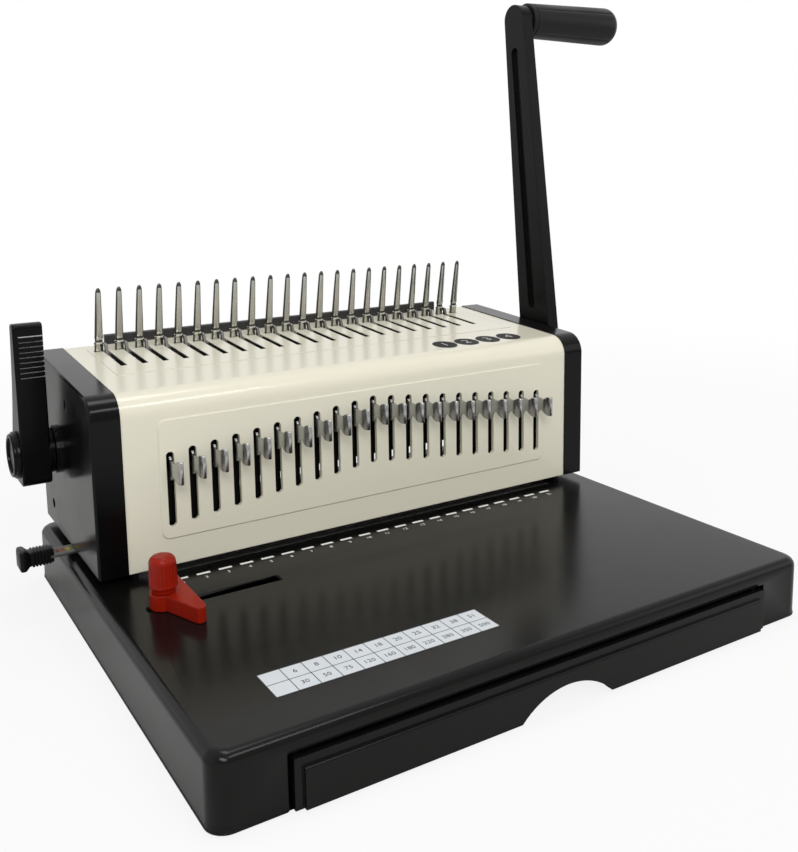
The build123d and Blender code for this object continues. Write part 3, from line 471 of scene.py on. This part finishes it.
def arm():
    lo, hi = corners("handle_arm")
    low_r, top_r, length, tilt = 20.0, 11.8, 304.0, math.radians(6.6)
    low = Vector((face_y + 56.0, 101.5))
    along = Vector((math.sin(tilt), math.cos(tilt)))
    top = low + along * length
    taper = math.degrees(math.asin((low_r - top_r) / length))
    up = math.degrees(math.atan2(along.y, along.x))
    outline = arc(low.x, low.y, low_r, up + 90 - taper, up + 270 + taper, 40)
    outline += arc(top.x, top.y, top_r, up - 90 + taper, up + 90 - taper, 32)
    left = hi.x - 10.0
    bm = bmesh.new()
    prism(bm, outline, left, hi.x)
    plain = loose(bm)
    first, last, half, deep, to_back = 66.0, 281.0, 4.3, 3.0, 1.2
    aside = Vector((along.y, -along.x)) * to_back
    a = low + along * (first + half) + aside
    b = low + along * (last - half) + aside
    groove = arc(a.x, a.y, half, up + 90, up + 270, 16) + arc(b.x, b.y, half, up - 90, up + 90, 16)
    cutters = []
    for x0, x1 in ((left - 1, left + deep), (hi.x - deep, hi.x + 1)):
        bm = bmesh.new()
        prism(bm, groove, x0, x1)
        cutters.append(loose(bm))
    piece("crank_arm", cut(plain, cutters), arm_black, "handle", "handle_arm", bevel=1.0)

    bm = bmesh.new()
    lathe(bm, [(lo.x, 11.6), (lo.x + 0.4, 12.4), (left + 0.4, 12.4)], (0, low.x, low.y), turns=56)
    piece("crank_hub", bm, arm_black, "handle", angle=25)

    cap_lo, cap_hi = corners("arm_bolt")
    r, rim = (cap_hi.z - cap_lo.z) / 2, cap_lo.x + 1.2
    profile = [(cap_lo.x, r), (rim, r)]
    for a in [math.radians(d) for d in (20, 40, 60, 80, 90)]:
        profile.append((rim + 2.2 * math.sin(a), r - 2.6 + 2.6 * math.cos(a)))
    profile += [(cap_hi.x, r - 4.4), (cap_hi.x - 0.7, r - 4.9), (cap_hi.x - 0.7, 0.3)]
    bm = bmesh.new()
    lathe(bm, profile, (0, low.x, low.y), turns=56)
    piece("crank_cap", bm, arm_black, "handle", "arm_bolt", angle=40)


def grip():
    middle, lo, hi = centre_of("handle_grip")
    longer = 11.0
    start, end = lo.x, hi.x + longer
    collar, corner, thin, full = 6.7, 9.0, 14.0, (hi.z - lo.z) / 2
    profile = [(start, 10.0), (start + 2.2, 10.0), (start + 2.3, 13.2), (start + 3.0, 13.9),
               (start + 5.6, thin), (start + 5.9, 13.4), (start + 6.3, 13.4), (start + collar, thin)]
    for k in range(1, 9):
        t = k / 8
        profile.append((start + collar + (end - corner - start - collar) * t, thin + (full - thin) * t))
    for d in range(6, 91, 7):
        a = math.radians(d)
        profile.append((end - corner + corner * math.sin(a), full - corner + corner * math.cos(a)))
    profile.append((end, 0.3))
    seams = [math.radians(d) for d in (36, 144, 234, 324)]
    seam_deep, seam_half = 0.5, 0.06

    def seamed(along, radius, a):
        near = min(abs(a - seam) for seam in seams)
        inside = start + 7 < along < end - corner + 3
        return radius - (seam_deep * max(0.0, 1 - near / seam_half) if inside else 0.0)

    bm = bmesh.new()
    lathe(bm, profile, (0, middle.y, middle.z), turns=120, wave=seamed)
    piece("crank_grip", bm, grip_black, "grip", "handle_grip", angle=38)


arm()
grip()


# Opening lever with its ribs, its collar and the cap on its outer side

def lever():
    lo, hi = corners("opener_lever")
    hub, hub_lo, hub_hi = centre_of("lever_hub_cap")
    left, right = lo.x, lo.x + 18.5
    front, top, low = hub.y - 14.0, hi.z + 3.5, lo.z + 3.0
    thick, heel, heel_r, tip_r = 9.5, 26.0, 9, 3.0
    outline = arc(front + tip_r, top - tip_r, tip_r, 90, 180, 8)
    outline += [(front, low + 3.5), (front + 1, low + 1.2), (front + 3.4, low), (front + heel - heel_r, low)]
    outline += arc(front + heel - heel_r, low + heel_r, heel_r, -75, 0, 8)
    # Share of the way up, and width there
    knots = [(0.0, heel), (0.15, heel - 0.6), (0.35, thick + 10.2), (0.55, thick + 5.6),
             (0.75, thick + 2.6), (0.9, thick + 0.8), (1.0, thick)]
    z0, z1, steps = hub.z + 2, top - tip_r, 4
    for (t0, w0), (t1, w1) in zip(knots, knots[1:]):
        for k in range(steps):
            t = t0 + (t1 - t0) * k / steps
            outline.append((front + w0 + (w1 - w0) * k / steps, z0 + (z1 - z0) * t))
    outline += [(front + thick, z1), (front + thick - 0.6, top - 1), (front + thick - 2.4, top)]
    bm = bmesh.new()
    prism(bm, outline, left, right)
    piece("thumb_lever", bm, moulded, "opener", "opener_lever", bevel=1.1)

    # The ribs take the lighter, glossier copy of the moulding as a painted highlight
    ribs, first_rib, rib_pitch = 9, top - 8.2, 3.3
    bm = bmesh.new()
    for k in range(ribs):
        z = first_rib - rib_pitch * k
        section = [(front + 0.6, z - 1.0), (front - 0.45, z - 0.9), (front - 0.75, z - 0.55),
                   (front - 0.75, z - 0.25), (front - 0.15, z + 0.25), (front + 0.6, z + 0.25)]
        prism(bm, section, left + 3.2, right - 0.4)
    piece("thumb_ribs", bm, rib_highlight, "opener", angle=20)

    bm = bmesh.new()
    lathe(bm, [(right - 1, 15.0), (hi.x - 0.5, 15.0), (hi.x, 14.5)], (0, hub.y, hub.z))
    piece("thumb_collar", bm, moulded, "opener", angle=25)

    r = (hub_hi.z - hub_lo.z) / 2
    out, inn = hub_lo.x, hub_hi.x
    profile = [(inn, r), (inn - 2.0, r), (inn - 2.5, r - 0.4), (inn - 2.7, r - 1.1), (out + 0.8, r - 1.2),
               (out + 0.2, r - 1.6), (out, r - 2.3), (out, r - 3.2), (out + 0.4, r - 3.9),
               (out + 1.5, r - 4.1), (out + 1.7, r - 5), (out + 1.4, 0.3)]
    bm = bmesh.new()
    lathe(bm, profile, (0, hub.y, hub.z))
    piece("thumb_cap", bm, moulded, "opener", "lever_hub_cap", angle=40)


lever()


# Fluted knob of the red guide

def guide_knob():
    middle, lo, hi = centre_of("clamp_knob")
    r, first, last = (hi.x - lo.x) / 2, lo.z + 3.0, hi.z - 1.0
    flutes, flute_deep, round_high, round_in = 22, 0.5, 4.4, 3.1

    def fluted(along, radius, a):
        t = (along - first) / (last - first)
        deep = flute_deep * min(1.0, max(0.0, (0.78 - t) / 0.06)) * min(1.0, max(0.0, (t - 0.03) / 0.03))
        return radius - deep * (0.5 - 0.5 * math.cos(flutes * a)) ** 0.7

    profile = [(lo.z, 6.8), (first - 0.8, 6.8), (first, r - 0.7), (first + 0.4, r - 0.25)]
    for k in range(13):
        profile.append((first + 0.7 + (last - first - 5.6) * k / 12, r - 0.2 - 0.35 * k / 12))
    for d in range(10, 91, 10):
        a = math.radians(d)
        along = last - round_high + round_high * math.sin(a)
        profile.append((along, r - 0.55 - round_in * (1 - math.cos(a))))
    profile.append((last, 0.3))
    bm = bmesh.new()
    lathe(bm, profile, (middle.x, middle.y, 0), axis="Z", turns=flutes * 10, wave=fluted)
    piece("guide_knob", bm, red, "guide_clamp", "clamp_knob", angle=60)


guide_knob()


# Margin knob with its grooves, and the coloured fields of its scale

def margin():
    middle, lo, hi = centre_of("margin_knob")
    y, z = middle.y, middle.z

    def ring(x, wide, high):
        """Rounded rectangle across the knob, from its half width and half height."""
        soft = 1.3
        out = []
        for sy, sz, turn in ((1, 1, 0), (-1, 1, 90), (-1, -1, 180), (1, -1, 270)):
            corner = arc(y + sy * (wide - soft), z + sz * (high - soft), soft, turn, turn + 90, 4)
            out += [(x, v, w) for v, w in corner]
        return out

    groove, ridge, ridge_wide, spacing = (5.2, 4.4), (5.8, 5.0), 1.5, 2.0
    loops = [ring(lo.x, 5.4, 5.0), ring(lo.x + 0.5, 6.6, 6.2), ring(lo.x + 1.2, 7.0, 6.6),
             ring(lo.x + 3.4, 7.0, 6.6), ring(lo.x + 4.4, 6.6, 6.0), ring(lo.x + 6.2, 5.3, 4.5),
             ring(lo.x + 7.4, *groove)]
    at = lo.x + 7.8
    while at < hi.x - 1.6:
        loops += [ring(at, *groove), ring(at + 0.2, *ridge), ring(at + 1.3, *ridge),
                  ring(at + ridge_wide, *groove)]
        at += spacing
    loops.append(ring(hi.x, *groove))
    bm = bmesh.new()
    skin(bm, loops)
    piece("margin_turn", bm, arm_black, "margin_slide", "margin_knob", angle=35)

    strip_lo, strip_hi = corners("margin_strip")
    front, back, surface = strip_lo.y, strip_hi.y, strip_hi.z
    bm = bmesh.new()
    box(bm, hi.x + 0.2, hi.x + 16.0, front + 0.6, back - 0.6, surface - 0.04, surface + 0.04)
    piece("margin_label", bm, label_grey, "margin_slide")
    first_field, field_pitch, field_wide = hi.x + 2.0, 3.2, 2.3
    for k, finish in enumerate(field_inks):
        x = first_field + field_pitch * k
        bm = bmesh.new()
        box(bm, x, x + field_wide, front + 4.2, back - 3.6, surface - 0.05, surface + 0.07)
        piece(f"margin_field_{k + 1}", bm, finish, "margin_slide")


margin()


# Base with a smooth foot in place of the solid's lip, and a thin rim along it that is broken where the
# drawer comes out; the rim's piece also closes the gaps beside the drawer from below with dark plates, as
# painted shade

def base():
    middle, lo, hi = centre_of("base_shell")
    drawer_lo, drawer_hi = corners("chip_drawer")
    lip, lip_high, soft, beyond = 0.8, 3.3, 10.0, 9
    edge_x, edge_y = hi.x - lip, hi.y - lip

    def outline(grow):
        """Rounded outline of the base seen from above, made larger by a length, from the front right on."""
        x, y, r = edge_x + grow, edge_y + grow, soft + grow
        points = []
        for sx, sy, turn in ((1, -1, -90), (1, 1, 0), (-1, 1, 90), (-1, -1, 180)):
            points += arc(sx * (x - r), middle.y + sy * (y - middle.y - r), r, turn, turn + 90, 12)
        return points

    bm = bmesh.new()
    bm.from_mesh(nodes["base_shell"].data)
    bmesh.ops.transform(bm, matrix=to_mm, verts=bm.verts)
    bmesh.ops.remove_doubles(bm, verts=bm.verts, dist=0.001)
    whole = loose(bm)
    bm = bmesh.new()
    box(bm, -edge_x - beyond, edge_x + beyond, lo.y - beyond, hi.y + beyond, lo.z - 1.0, lo.z + lip_high)
    around = loose(bm)
    bm = bmesh.new()
    skin(bm, [[(u, v, z) for u, v in outline(0.02)] for z in (lo.z - 2.0, lo.z + 5.0)])
    lip_cutter = loose(cut(around, [loose(bm)]))
    body = piece("base_body", cut(whole, [lip_cutter]), table_black, "housing", "base_shell",
                 angle=50)
    body.modifiers.new("normals", "WEIGHTED_NORMAL").keep_sharp = True

    front = middle.y - (edge_y - middle.y)
    stands_out, reaches_in, gap = 0.35, 1.2, 2.6

    def broken(grow):
        """The outline again, with its ends beside the drawer."""
        ends = [(x, front - grow) for x in (drawer_hi.x + gap, drawer_lo.x - gap)]
        return ends[:1] + outline(grow) + ends[1:]

    loops = []
    for (a, b), (c, d) in zip(broken(stands_out), broken(-reaches_in)):
        loops.append([(a, b, lo.z - 0.05), (a, b, lo.z + 0.7),
                      (a + (c - a) * 0.3, b + (d - b) * 0.3, lo.z + 1.0),
                      (c, d, lo.z + 1.0), (c, d, lo.z - 0.05)])
    bm = bmesh.new()
    skin(bm, loops)
    # Painted shade: dark plates under the base beside the drawer, so that the gaps beside the drawer look
    # dark
    plate_out, plate_in, plate_front, plate_back = 3.2, 44.0, front + 0.4, front + 70.0
    for x0, x1 in ((drawer_lo.x - plate_out, drawer_lo.x + plate_in),
                   (drawer_hi.x - plate_in, drawer_hi.x + plate_out)):
        box(bm, x0, x1, plate_front, plate_back, lo.z + 0.05, drawer_lo.z - 0.2)
    piece("base_rim", bm, table_black, "housing", angle=50)


base()


# Print on the table and the top: dashes, plain numbers and a chart of plain numbers, and four discs

def numerals(entries, finish, name):
    """One flat mesh of plain numbers; entries are (text, x, y, height, z)."""
    thick, figure_share = 0.06, 0.7
    bm = bmesh.new()
    for text, x, y, size, z in entries:
        curve = bpy.data.curves.new("number", "FONT")
        curve.body = text
        curve.size = size * mm / figure_share
        curve.align_x = "CENTER"
        curve.align_y = "CENTER"
        curve.extrude = thick * mm / 2
        curve.resolution_u = 3
        obj = bpy.data.objects.new("number", curve)
        bpy.context.scene.collection.objects.link(obj)
        shown = bpy.context.evaluated_depsgraph_get()
        mesh = bpy.data.meshes.new_from_object(obj.evaluated_get(shown))
        mesh.transform(Matrix.Translation((x * mm, y * mm, z * mm)))
        mesh.transform(to_mm)
        bm.from_mesh(mesh)
        bpy.data.objects.remove(obj)
        bpy.data.meshes.remove(mesh)
    return piece(name, bm, finish, "housing")


def table_print():
    film = 0.03
    z = table_z + film
    dash_y, dash_half, dash_deep = face_y - 11.2, 4.3, 1.15
    bm = bmesh.new()
    for i in range(1, punches + 1):
        x = punch_at(i) - 0.3
        box(bm, x - dash_half, x + dash_half, dash_y - dash_deep, dash_y + dash_deep, z - film, z + film)
    piece("scale_dashes", bm, white_ink, "housing")
    numbers_y, number_high = dash_y - 6.4, 2.9
    numerals([(str(i), punch_at(i) - 0.4, numbers_y, number_high, z) for i in range(1, punches + 1)],
             white_ink, "scale_numbers")

    x0, x1, y0, y1 = -151.0, -19.2, -137.7, -113.9
    bm = bmesh.new()
    box(bm, x0, x1, y0, y1, z - film, z + 0.05)
    piece("chart_plate", bm, card_white, "housing")
    columns, rows, line = 11, 2, 0.22
    wide, high = (x1 - x0) / columns, (y1 - y0) / rows
    low, up = z + 0.04, z + 0.09
    bm = bmesh.new()
    for k in range(columns + 1):
        x = x0 + wide * k
        box(bm, x - line, x + line, y0, y1, low, up)
    for k in range(rows + 1):
        y = y0 + high * k
        box(bm, x0, x1, y - line, y + line, low, up)
    piece("chart_lines", bm, ink, "housing")
    upper_row = ("6", "8", "10", "14", "18", "20", "25", "32", "38", "51")
    lower_row = ("30", "50", "75", "120", "160", "180", "220", "280", "350", "500")
    entries = []
    for k, (a, b) in enumerate(zip(upper_row, lower_row)):
        x = x0 + wide * (k + 1.5)
        entries.append((a, x, y0 + high * 1.5, 3.4, z + 0.07))
        entries.append((b, x, y0 + high * 0.5, 3.2, z + 0.07))
    numerals(entries, ink, "chart_numbers")


def top_discs():
    """Four dark discs with a light ring and a plain number on the cover's top."""
    rings, discs = bmesh.new(), bmesh.new()
    numbers = []
    first, apart, count, steps = 77.0, 19.7, 4, 48
    y, wide, deep = face_y + 25.0, 9.2, 10.2
    for k in range(count):
        x = first + apart * k
        for bm, share, low, high in ((rings, 1.0, -0.1, 0.10), (discs, 0.95, -0.1, 0.14)):
            angles = [2 * math.pi * n / steps for n in range(steps)]
            rim = [(x + share * wide * math.cos(a), y + share * deep * math.sin(a)) for a in angles]
            skin(bm, [[(u, v, top_at(v) + h) for u, v in rim] for h in (low, high)])
        numbers.append((str(k + 1), x, y, 8.5, top_at(y) + 0.16))
    piece("top_disc_rings", rings, rail_grey, "housing")
    piece("top_discs", discs, disc_black, "housing")
    plain = numerals(numbers, disc_ink, "top_disc_numbers")
    for vertex in plain.data.vertices:
        vertex.co.z += top_slope * (vertex.co.y - y * mm)


table_print()
top_discs()


# Stage: floor, sky, lamps and camera, in metres

def floor():
    """White floor that glows for the camera, a little less around the object."""
    bpy.ops.mesh.primitive_plane_add(size=8.0)
    plane = bpy.context.object
    plane.name = "studio_floor"
    m = bpy.data.materials.new("floor_white")
    m.use_nodes = True
    tree = m.node_tree
    matt = tree.nodes["Principled BSDF"]
    matt.inputs["Base Color"].default_value = (0.82, 0.82, 0.82, 1)
    matt.inputs["Roughness"].default_value = 0.9
    matt.inputs["Specular IOR Level"].default_value = 0.1
    glow = tree.nodes.new("ShaderNodeEmission")
    glow.inputs["Color"].default_value = (1, 1, 1, 1)
    rays = tree.nodes.new("ShaderNodeLightPath")
    place = tree.nodes.new("ShaderNodeTexCoord")
    far = tree.nodes.new("ShaderNodeVectorMath")
    far.operation = "LENGTH"
    tree.links.new(place.outputs["Object"], far.inputs[0])
    fade = mapped(tree, far.outputs["Value"], 0.25, 1.3, 0.86)
    share = combined(tree, "MULTIPLY", rays.outputs["Is Camera Ray"], fade)
    put_out(tree, share, matt.outputs["BSDF"], glow.outputs["Emission"], "Material Output")
    plane.data.materials.append(m)


def sky():
    """Soft light all round; white for the camera, and for reflections except those of the near side."""
    world = bpy.data.worlds.new("studio")
    bpy.context.scene.world = world
    world.use_nodes = True
    tree = world.node_tree
    back = tree.nodes["Background"]
    back.inputs["Color"].default_value = (0.83, 0.82, 0.80, 1)
    back.inputs["Strength"].default_value = 0.53
    white = tree.nodes.new("ShaderNodeBackground")
    white.inputs["Color"].default_value = (1, 1, 1, 1)
    rays = tree.nodes.new("ShaderNodeLightPath")
    place = tree.nodes.new("ShaderNodeTexCoord")
    parts = tree.nodes.new("ShaderNodeSeparateXYZ")
    tree.links.new(place.outputs["Generated"], parts.inputs["Vector"])
    dim = mapped(tree, parts.outputs["Y"], -0.75, 0.05, 0.08)
    share = combined(tree, "MULTIPLY", rays.outputs["Is Glossy Ray"], dim)
    for kind in ("Is Camera Ray", "Is Transmission Ray"):
        share = combined(tree, "MAXIMUM", rays.outputs[kind], share)
    put_out(tree, share, back.outputs["Background"], white.outputs["Background"], "World Output")


def lamp(name, place, aim, size, power):
    data = bpy.data.lights.new(name, "AREA")
    data.shape = "RECTANGLE"
    data.size, data.size_y = size
    data.energy = power
    obj = bpy.data.objects.new(name, data)
    obj.location = place
    obj.rotation_euler = (Vector(aim) - Vector(place)).to_track_quat("-Z", "Y").to_euler()
    bpy.context.scene.collection.objects.link(obj)


def photo_camera():
    """Camera as it was fitted to the photograph: place, angles in radians, focal length in pixels."""
    wide, high, focal, centre_x, centre_y, sensor = 798, 852, 976.384, 405.169, 312.699, 36
    eye, yaw, dip, roll = (-0.32318, -0.53472, 0.28611), 0.55537, 0.14938, -0.01386
    ahead = Vector((math.sin(yaw) * math.cos(dip), math.cos(yaw) * math.cos(dip), -math.sin(dip)))
    side = Vector((math.cos(yaw), -math.sin(yaw), 0))
    up = side.cross(ahead)
    right = math.cos(roll) * side + math.sin(roll) * up
    above = -math.sin(roll) * side + math.cos(roll) * up
    lens = bpy.data.cameras.new("photo_view")
    lens.lens = focal / high * sensor
    lens.sensor_width = sensor
    lens.sensor_fit = "AUTO"
    lens.shift_x = (wide / 2 - centre_x) / high
    lens.shift_y = (centre_y - high / 2) / high
    lens.clip_start = 0.01
    lens.clip_end = 50
    camera = bpy.data.objects.new("photo_view", lens)
    turn = Matrix((right, above, -ahead)).transposed().to_4x4()
    camera.matrix_world = Matrix.Translation(eye) @ turn
    bpy.context.scene.collection.objects.link(camera)
    bpy.context.scene.camera = camera
    bpy.context.scene.view_settings.view_transform = "Standard"


floor()
sky()
lamp("key", (-0.7, -1.6, 1.3), (0, 0, 0.1), (0.9, 0.6), 16.5)
lamp("top", (0.1, 0.1, 2.0), (0, 0, 0.1), (0.7, 0.6), 7.0)
lamp("fill", (1.6, -1.2, 0.8), (0, 0, 0.1), (0.9, 0.9), 2.5)
lamp("edge", (0.36, -1.08, 1.36), (-0.15, -0.15, 0.04), (0.5, 0.2), 3.2)
photo_camera()

bpy.context.view_layer.update()
